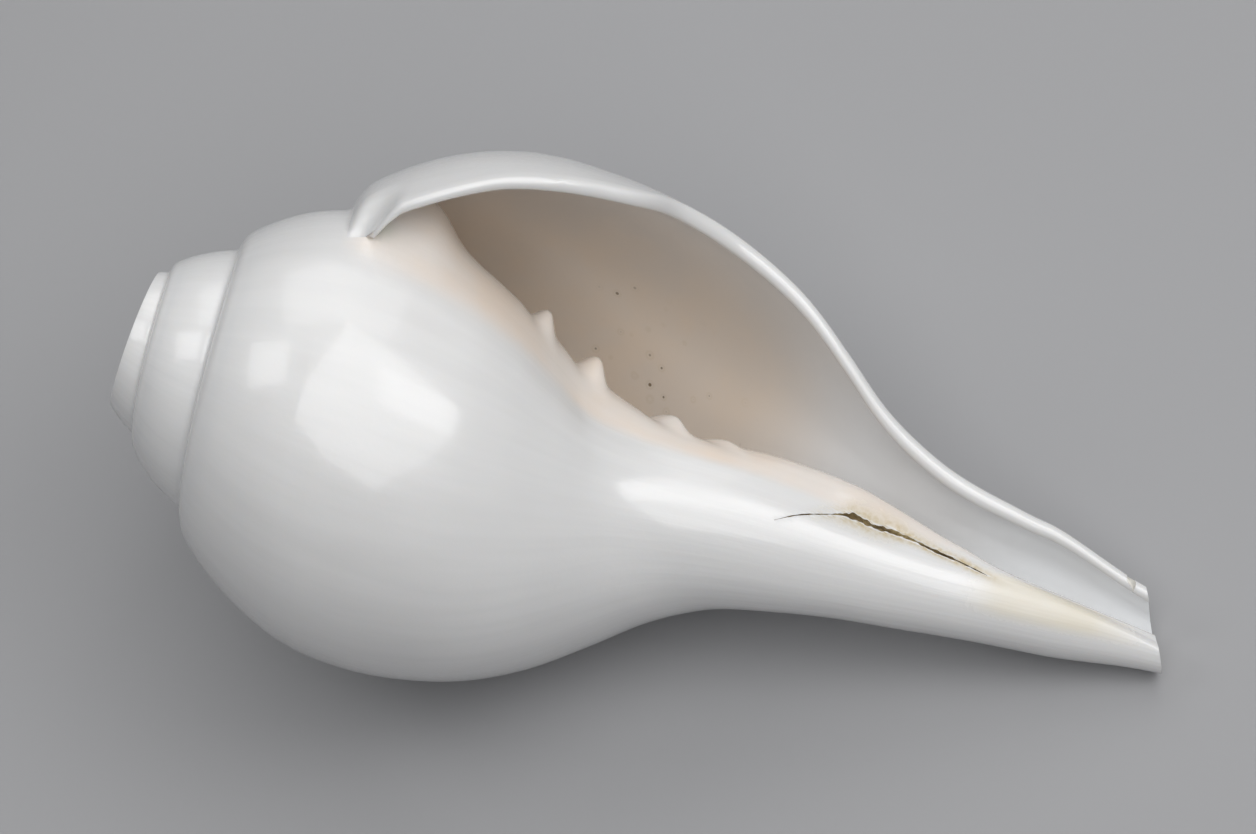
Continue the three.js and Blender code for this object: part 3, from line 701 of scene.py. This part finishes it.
def winding_tree():
    """Winds the unrolled shell round its axis, saws it, drills it and lays it down as it rests."""
    tree = bpy.data.node_groups.new("Wound Shell", "GeometryNodeTree")
    nodes = Nodes(tree)
    add_socket(tree, "Geometry", "Geometry")
    for name in ("Lip Angle", "Belly Lean", "Tip Slant", "Tip Centre", "Length", "Hole Radius", "Hole Depth"):
        add_socket(tree, name, "Float")
    add_socket(tree, "Lie", "Vector")
    for name in FINISH_NAMES:
        add_socket(tree, name, "Material")
    add_socket(tree, "Geometry", "Geometry", "OUTPUT")
    start = nodes.add("NodeGroupInput").outputs

    unrolled = nodes.add("GeometryNodeInputPosition").outputs[0]
    remembered = nodes.add(
        "GeometryNodeStoreNamedAttribute",
        {"Geometry": start["Geometry"], "Name": "grown", "Value": unrolled},
        data_type="FLOAT_VECTOR", domain="POINT",
    )
    wound = nodes.add(
        "GeometryNodeSetPosition",
        {"Geometry": remembered.outputs[0], "Position": wind_round(nodes, start, unrolled)},
    )
    is_cutter = nodes.stored("cutter", "BOOLEAN")
    parts = nodes.add(
        "GeometryNodeSeparateGeometry", {"Geometry": wound.outputs[0], "Selection": is_cutter}
    )

    saw = nodes.add("GeometryNodeMeshCube", {"Size": SAW_BLOCK})
    sawn = nodes.add("GeometryNodeTransform", {
        "Geometry": saw.outputs["Mesh"], "Translation": (-SAW_BLOCK[0] / 2, 0.0, 0.0),
    })
    bit = nodes.add("GeometryNodeMeshCylinder", {
        "Vertices": 96,
        "Radius": start["Hole Radius"],
        "Depth": nodes.math("MULTIPLY", start["Hole Depth"], 2.0),
    })
    drilled = nodes.add("GeometryNodeTransform", {
        "Geometry": bit.outputs["Mesh"], "Rotation": (0.0, math.pi / 2, 0.0),
    })
    cut = nodes.add(
        "GeometryNodeMeshBoolean", {"Mesh 1": parts.outputs["Inverted"]},
        operation="DIFFERENCE", solver="MANIFOLD",
    )
    nodes.tree.links.new(parts.outputs["Selection"], cut.inputs["Mesh 2"])
    for tool in (drilled, sawn):
        ground = nodes.add(
            "GeometryNodeStoreNamedAttribute",
            {"Geometry": tool.outputs[0], "Name": "finish", "Value": GROUND},
            data_type="INT", domain="FACE",
        )
        nodes.tree.links.new(ground.outputs[0], cut.inputs["Mesh 2"])

    lying = nodes.add("GeometryNodeTransform", {
        "Geometry": cut.outputs["Mesh"], "Rotation": start["Lie"], "Scale": (0.001, 0.001, 0.001),
    })
    smooth = nodes.add("GeometryNodeSetShadeSmooth", {"Geometry": lying.outputs[0]})
    result = nodes.add("GeometryNodeRealizeInstances", {"Geometry": smooth.outputs[0]}).outputs[0]
    finish = nodes.stored("finish", "INT")
    for kind, name in enumerate(FINISH_NAMES):
        chosen = nodes.add(
            "FunctionNodeCompare", {"A": finish, "B": kind}, data_type="INT", operation="EQUAL"
        )
        result = nodes.add("GeometryNodeSetMaterial", {
            "Geometry": result, "Selection": chosen.outputs[0], "Material": start[name],
        }).outputs[0]
    nodes.add("NodeGroupOutput", {"Geometry": result})
    return tree


def growth_lines_group():
    """Faint lines of growth along the lip's earlier edges, as a height from 0 to 1."""
    tree = bpy.data.node_groups.new("Growth Lines", "ShaderNodeTree")
    nodes = Nodes(tree)
    add_socket(tree, "Spacing", "Float", default=1.0)
    add_socket(tree, "Lines", "Float", "OUTPUT")
    start = nodes.add("NodeGroupInput").outputs
    grown = nodes.add("ShaderNodeSeparateXYZ", {0: nodes.attribute("grown").outputs["Vector"]}).outputs
    along = nodes.math("DIVIDE", nodes.math("MULTIPLY", grown[0], 60.0), start["Spacing"])
    across = nodes.math("MULTIPLY", grown[1], 0.035)
    place = nodes.add("ShaderNodeCombineXYZ", {"X": along, "Y": across}).outputs[0]
    lines = nodes.add("ShaderNodeTexNoise", {"Vector": place, "Scale": 1.0, "Detail": 2.0, "Roughness": 0.5})
    nodes.add("NodeGroupOutput", {"Lines": lines.outputs["Fac"]})
    return tree


def mottle_group():
    """Soft clouds and fine grain through the shell, each from 0 to 1."""
    tree = bpy.data.node_groups.new("Mottle", "ShaderNodeTree")
    nodes = Nodes(tree)
    add_socket(tree, "Cloud Size", "Float", default=0.02)
    add_socket(tree, "Clouds", "Float", "OUTPUT")
    add_socket(tree, "Grain", "Float", "OUTPUT")
    start = nodes.add("NodeGroupInput").outputs
    place = nodes.add("ShaderNodeTexCoord").outputs["Object"]
    scale = nodes.math("DIVIDE", 1.0, start["Cloud Size"])
    clouds = nodes.add("ShaderNodeTexNoise", {"Vector": place, "Scale": scale, "Detail": 3.0})
    grain = nodes.add("ShaderNodeTexNoise", {"Vector": place, "Scale": 1400.0, "Detail": 3.0})
    nodes.add("NodeGroupOutput", {
        "Clouds": nodes.ramp(clouds.outputs["Fac"], 0.35, 0.65),
        "Grain": nodes.ramp(grain.outputs["Fac"], 0.3, 0.7),
    })
    return tree


def pits_group():
    """Small round pits with a faint ring, scattered about where Where is 1."""
    tree = bpy.data.node_groups.new("Pits", "ShaderNodeTree")
    nodes = Nodes(tree)
    add_socket(tree, "Spacing", "Float", default=0.004)
    add_socket(tree, "Where", "Float", default=1.0)
    add_socket(tree, "Share", "Float", default=0.42)
    add_socket(tree, "Pit", "Float", "OUTPUT")
    add_socket(tree, "Ring", "Float", "OUTPUT")
    start = nodes.add("NodeGroupInput").outputs
    place = nodes.add("ShaderNodeTexCoord").outputs["Object"]
    scale = nodes.math("DIVIDE", 1.0, start["Spacing"])
    cells = nodes.add("ShaderNodeTexVoronoi", {"Vector": place, "Scale": scale}, feature="F1")
    chance = nodes.add("ShaderNodeSeparateColor", {0: cells.outputs["Color"]}).outputs
    chosen = nodes.math("MULTIPLY", nodes.math("LESS_THAN", chance[0], start["Share"]), start["Where"])
    size = nodes.math("MULTIPLY_ADD", chance[1], 0.06, 0.1)
    distance = nodes.math("DIVIDE", cells.outputs["Distance"], size)
    pit = nodes.ramp(distance, 1.0, 0.5)
    ring = nodes.math("MULTIPLY", nodes.ramp(distance, 1.0, 1.5), nodes.ramp(distance, 2.4, 1.6))
    nodes.add("NodeGroupOutput", {
        "Pit": nodes.math("MULTIPLY", pit, chosen),
        "Ring": nodes.math("MULTIPLY", ring, chosen),
    })
    return tree


def shell_material(name):
    """A material with its nodes cleared, its shader and its output."""
    material = bpy.data.materials.new(name)
    material.use_nodes = True
    material.node_tree.nodes.clear()
    nodes = Nodes(material.node_tree)
    shader = nodes.add("ShaderNodeBsdfPrincipled", {"IOR": 1.54})
    nodes.add("ShaderNodeOutputMaterial", {"Surface": shader.outputs[0]})
    return material, nodes, shader


def use_group(nodes, group, inputs=None):
    node = nodes.add("ShaderNodeGroup", node_tree=group)
    for name, value in (inputs or {}).items():
        nodes.feed(node.inputs[name], value)
    return node.outputs


def colour(value):
    return (*value, 1.0)


def polished_material(finish, groups):
    material, nodes, shader = shell_material("Polished Shell")
    lines = use_group(nodes, groups["lines"], {"Spacing": 1.0})["Lines"]
    mottle = use_group(nodes, groups["mottle"], {"Cloud Size": 0.018})

    def mask(name):
        return nodes.attribute(name).outputs["Fac"]

    banded = nodes.math("MULTIPLY", nodes.ramp(lines, 0.35, 0.7), 0.3)
    clouded = nodes.math("MULTIPLY_ADD", mottle["Clouds"], 0.25, banded)
    base = nodes.mix(clouded, colour(finish.porcelain), colour(finish.shade))
    blushed = nodes.math("MULTIPLY", mask("blush"), nodes.math("MULTIPLY_ADD", mottle["Clouds"], 0.45, 0.4))
    base = nodes.mix(blushed, base, colour(finish.blush))
    base = nodes.mix(nodes.math("MULTIPLY", mask("moss"), 0.4), base, colour(finish.moss))
    worn = nodes.math("MULTIPLY", mask("worn"), nodes.math("MULTIPLY_ADD", mottle["Clouds"], 0.5, 0.5))
    base = nodes.mix(worn, base, colour(finish.worn))
    stained = nodes.math("MULTIPLY", mask("stain"), nodes.math("MULTIPLY_ADD", mottle["Grain"], 0.5, 0.5))
    base = nodes.mix(stained, base, colour(finish.stain))
    nodes.feed(shader.inputs["Base Color"], base)

    polish = nodes.math("MULTIPLY_ADD", mottle["Grain"], 0.05, finish.gloss)
    dull = nodes.math("MULTIPLY_ADD", worn, 0.3, polish)
    nodes.feed(shader.inputs["Roughness"], nodes.math("MULTIPLY_ADD", stained, 0.4, dull))
    height = nodes.math("MULTIPLY_ADD", mottle["Grain"], 0.05, nodes.math("MULTIPLY", lines, 0.6))
    bump = nodes.add("ShaderNodeBump", {"Strength": 0.2, "Distance": 0.0004, "Height": height})
    nodes.feed(shader.inputs["Normal"], bump.outputs[0])
    nodes.feed(shader.inputs["Subsurface Weight"], 0.12)
    nodes.feed(shader.inputs["Subsurface Radius"], (1.0, 0.8, 0.6))
    nodes.feed(shader.inputs["Subsurface Scale"], 0.003)
    nodes.feed(shader.inputs["Coat Weight"], 0.35)
    nodes.feed(shader.inputs["Coat Roughness"], 0.06)
    return material


def lining_material(finish, groups):
    material, nodes, shader = shell_material("Mouth Lining")
    lines = use_group(nodes, groups["lines"], {"Spacing": 1.6})["Lines"]
    mottle = use_group(nodes, groups["mottle"], {"Cloud Size": 0.012})
    pitted = nodes.attribute("pitted").outputs["Fac"]
    pits = use_group(nodes, groups["pits"], {"Spacing": 0.0028, "Where": pitted, "Share": 0.6})
    throat = nodes.attribute("throat").outputs["Fac"]
    base = nodes.mix(throat, colour(finish.canal), colour(finish.throat))
    base = nodes.mix(nodes.math("MULTIPLY", mottle["Clouds"], 0.25), base, colour(finish.shade))
    base = nodes.mix(nodes.math("MULTIPLY", pits["Pit"], 0.85), base, colour(finish.dirt))
    base = nodes.mix(nodes.math("MULTIPLY", pits["Ring"], 0.12), base, colour(finish.stain))
    nodes.feed(shader.inputs["Base Color"], base)
    nodes.feed(shader.inputs["Roughness"], nodes.math("MULTIPLY_ADD", mottle["Clouds"], 0.06, 0.28))
    height = nodes.math("MULTIPLY_ADD", pits["Pit"], -0.8, nodes.math("MULTIPLY", lines, 0.25))
    bump = nodes.add("ShaderNodeBump", {"Strength": 0.3, "Distance": 0.0004, "Height": height})
    nodes.feed(shader.inputs["Normal"], bump.outputs[0])
    nodes.feed(shader.inputs["Coat Weight"], 0.25)
    nodes.feed(shader.inputs["Coat Roughness"], 0.1)
    return material


def ground_material(finish, groups):
    material, nodes, shader = shell_material("Ground Shell")
    mottle = use_group(nodes, groups["mottle"], {"Cloud Size": 0.006})
    pits = use_group(nodes, groups["pits"], {"Spacing": 0.003})
    base = nodes.mix(nodes.math("MULTIPLY", mottle["Clouds"], 0.4), colour(finish.chalk), colour(finish.worn))
    base = nodes.mix(nodes.math("MULTIPLY", pits["Pit"], 0.5), base, colour(finish.stain))
    nodes.feed(shader.inputs["Base Color"], base)
    nodes.feed(shader.inputs["Roughness"], nodes.math("MULTIPLY_ADD", mottle["Grain"], 0.15, 0.5))
    height = nodes.math("MULTIPLY_ADD", pits["Pit"], -0.8, mottle["Grain"])
    bump = nodes.add("ShaderNodeBump", {"Strength": 0.3, "Distance": 0.0002, "Height": height})
    nodes.feed(shader.inputs["Normal"], bump.outputs[0])
    return material


def stained_material(finish, groups):
    material, nodes, shader = shell_material("Stained Chink")
    mottle = use_group(nodes, groups["mottle"], {"Cloud Size": 0.003})
    base = nodes.mix(mottle["Clouds"], colour(finish.dirt), colour(finish.stain))
    base = nodes.mix(nodes.math("MULTIPLY", mottle["Grain"], 0.4), base, colour(finish.dirt))
    nodes.feed(shader.inputs["Base Color"], base)
    nodes.feed(shader.inputs["Roughness"], nodes.math("MULTIPLY_ADD", mottle["Grain"], 0.2, 0.7))
    bump = nodes.add("ShaderNodeBump", {"Strength": 0.6, "Distance": 0.0004, "Height": mottle["Grain"]})
    nodes.feed(shader.inputs["Normal"], bump.outputs[0])
    return material


def plain_material(name, value, roughness):
    material, nodes, shader = shell_material(name)
    mottle = use_group(nodes, bpy.data.node_groups["Mottle"], {"Cloud Size": 0.2})
    base = nodes.mix(nodes.math("MULTIPLY", mottle["Clouds"], 0.06), colour(value), (0.3, 0.3, 0.3, 1.0))
    nodes.feed(shader.inputs["Base Color"], base)
    nodes.feed(shader.inputs["Roughness"], nodes.math("MULTIPLY_ADD", mottle["Grain"], 0.05, roughness))
    return material


def add_object(name, data):
    piece = bpy.data.objects.new(name, data)
    bpy.context.scene.collection.objects.link(piece)
    return piece


def unrolled_mesh(coil):
    """The shell and its cutters unrolled, with what the node tree and the materials read."""
    skin = grow_skin(coil)
    carve_hollow(coil, skin)
    carve_chink(coil, skin)
    carve_chip(coil, skin)
    points = np.concatenate(skin.points)
    roles = np.concatenate(skin.roles)
    mesh = bpy.data.meshes.new("Unrolled Shell")
    mesh.from_pydata(points.tolist(), [], np.concatenate(skin.triangles).tolist())
    values = {"bend": coil.bend(points[:, 1]), **colour_masks(coil, points, roles)}
    for name, value in values.items():
        mesh.attributes.new(name, "FLOAT", "POINT").data.foreach_set("value", value.astype(np.float32))
    cutter = roles == CUTTER
    mesh.attributes.new("cutter", "BOOLEAN", "POINT").data.foreach_set("value", cutter)
    finish = np.concatenate(skin.finishes).astype(np.int32)
    mesh.attributes.new("finish", "INT", "FACE").data.foreach_set("value", finish)
    return mesh


def set_inputs(modifier, values):
    """Feeds a tree's named inputs by their identifiers."""
    for item in modifier.node_group.interface.items_tree:
        if item.item_type == "SOCKET" and item.in_out == "INPUT" and item.name in values:
            modifier[item.identifier] = values[item.name]


def plain_mesh(piece, name):
    """The evaluated piece as a plain mesh, with its modifiers taken off."""
    evaluated = piece.evaluated_get(bpy.context.evaluated_depsgraph_get())
    mesh = bpy.data.meshes.new_from_object(evaluated)
    mesh.name = name
    piece.modifiers.clear()
    return mesh


class CONCH_OT_shell(bpy.types.Operator):
    """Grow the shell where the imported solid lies, and dress it"""

    bl_idname = "conch.shell"
    bl_label = "Conch Shell"

    def execute(self, context):
        sizes = context.scene.conch_sizes
        finish = context.scene.conch_finish
        groups = {"lines": growth_lines_group(), "mottle": mottle_group(), "pits": pits_group()}
        makers = (polished_material, lining_material, ground_material, stained_material)
        materials = dict(zip(FINISH_NAMES, (make(finish, groups) for make in makers)))

        shell = add_object("shell_grown", unrolled_mesh(Coil(sizes)))
        modifier = shell.modifiers.new("Wind", "NODES")
        modifier.node_group = winding_tree()
        set_inputs(modifier, {
            "Lip Angle": math.radians(sizes.lip_angle),
            "Belly Lean": sizes.belly_lean,
            "Tip Slant": sizes.tip_slant,
            "Tip Centre": sizes.tip_centre,
            "Length": sizes.length,
            "Hole Radius": sizes.hole_radius,
            "Hole Depth": sizes.hole_depth,
            "Lie": (math.radians(sizes.roll), math.radians(sizes.pitch), 0.0),
            **materials,
        })
        shell.data = plain_mesh(shell, "Conch Shell")
        if not shell.data.polygons:
            raise RuntimeError("the node tree made no shell")

        low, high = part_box(SHELL)
        corners = np.array([vertex.co for vertex in shell.data.vertices])
        foot = (corners.min(axis=0) + corners.max(axis=0)) / 2
        foot[2] = corners[:, 2].min()
        shift = Vector(((low.x + high.x) / 2 - foot[0], (low.y + high.y) / 2 - foot[1], low.z - foot[2]))
        shell.data.transform(Matrix.Translation(shift))
        shell.data.set_sharp_from_angle(angle=math.radians(50))
        sizes.coil_origin = shift

        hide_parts(SHELL)
        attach(shell, "root")
        return {"FINISHED"}


class CONCH_OT_stage(bpy.types.Operator):
    """Set the shell on a plain floor under soft studio light, seen as in the photograph"""

    bl_idname = "conch.stage"
    bl_label = "Studio"

    def execute(self, context):
        settings = context.scene.conch_stage
        sizes = context.scene.conch_sizes
        world = bpy.data.worlds.new("Studio")
        world.use_nodes = True
        world.node_tree.nodes["Background"].inputs["Color"].default_value = (0.8, 0.85, 0.9, 1.0)
        world.node_tree.nodes["Background"].inputs["Strength"].default_value = 0.07
        context.scene.world = world
        context.scene.view_settings.view_transform = "Standard"

        floor_mesh = bpy.data.meshes.new("Floor")
        floor_mesh.from_pydata([(-4, -4, 0), (4, -4, 0), (4, 4, 0), (-4, 4, 0)], [], [(0, 1, 2, 3)])
        floor_mesh.materials.append(plain_material("Floor", settings.floor_colour, 0.6))
        staged = [add_object("Floor", floor_mesh)]

        lie = Euler((math.radians(sizes.roll), math.radians(sizes.pitch), 0.0)).to_matrix()
        tilt = math.radians(PICTURE_TILT)
        right = lie @ Vector((math.cos(tilt), math.sin(tilt), 0))
        up = lie @ Vector((-math.sin(tilt), math.cos(tilt), 0))
        back = lie @ Vector((0, 0, 1))
        target = Vector(sizes.coil_origin) + lie @ Vector(PICTURE_CENTRE) / 1000
        view = Matrix((right, up, back)).transposed()

        camera = bpy.data.cameras.new("Camera")
        camera.sensor_width = 36
        camera.lens = 36 * settings.camera_distance * 1000 / PICTURE_WIDTH
        camera.clip_start = 0.01
        viewer = add_object("Camera", camera)
        viewer.matrix_world = Matrix.Translation(target + back * settings.camera_distance) @ view.to_4x4()
        context.scene.camera = viewer

        for name, direction, distance, width, height, share in SOFTBOXES:
            light = bpy.data.lights.new(name, "AREA")
            light.shape = "RECTANGLE"
            light.size = width
            light.size_y = height
            light.energy = settings.light_power * share
            box = add_object(name, light)
            box.location = target + (view @ Vector(direction)).normalized() * distance
            box.rotation_euler = (box.location - target).to_track_quat("Z", "Y").to_euler()
            staged.append(box)
        return {"FINISHED"}


class CONCH_PT_panel(bpy.types.Panel):
    """The shell and its studio"""

    bl_idname = "CONCH_PT_panel"
    bl_label = "Conch"
    bl_space_type = "VIEW_3D"
    bl_region_type = "UI"
    bl_category = "Conch"

    def draw(self, context):
        for operator, group in (("conch.shell", "conch_sizes"), ("conch.stage", "conch_stage")):
            self.layout.operator(operator)
            settings = getattr(context.scene, group)
            for name in settings.__annotations__:
                self.layout.prop(settings, name)
        finish = context.scene.conch_finish
        for name in finish.__annotations__:
            self.layout.prop(finish, name)


CLASSES = (ShellSizes, ShellFinish, StageSettings, CONCH_OT_shell, CONCH_OT_stage, CONCH_PT_panel)


def register():
    for item in CLASSES:
        bpy.utils.register_class(item)
    bpy.types.Scene.conch_sizes = PointerProperty(type=ShellSizes)
    bpy.types.Scene.conch_finish = PointerProperty(type=ShellFinish)
    bpy.types.Scene.conch_stage = PointerProperty(type=StageSettings)


def unregister():
    for name in ("conch_sizes", "conch_finish", "conch_stage"):
        delattr(bpy.types.Scene, name)
    for item in reversed(CLASSES):
        bpy.utils.unregister_class(item)


def main():
    register()
    bpy.ops.conch.shell()
    bpy.ops.conch.stage()


if __name__ == "__main__":
    main()
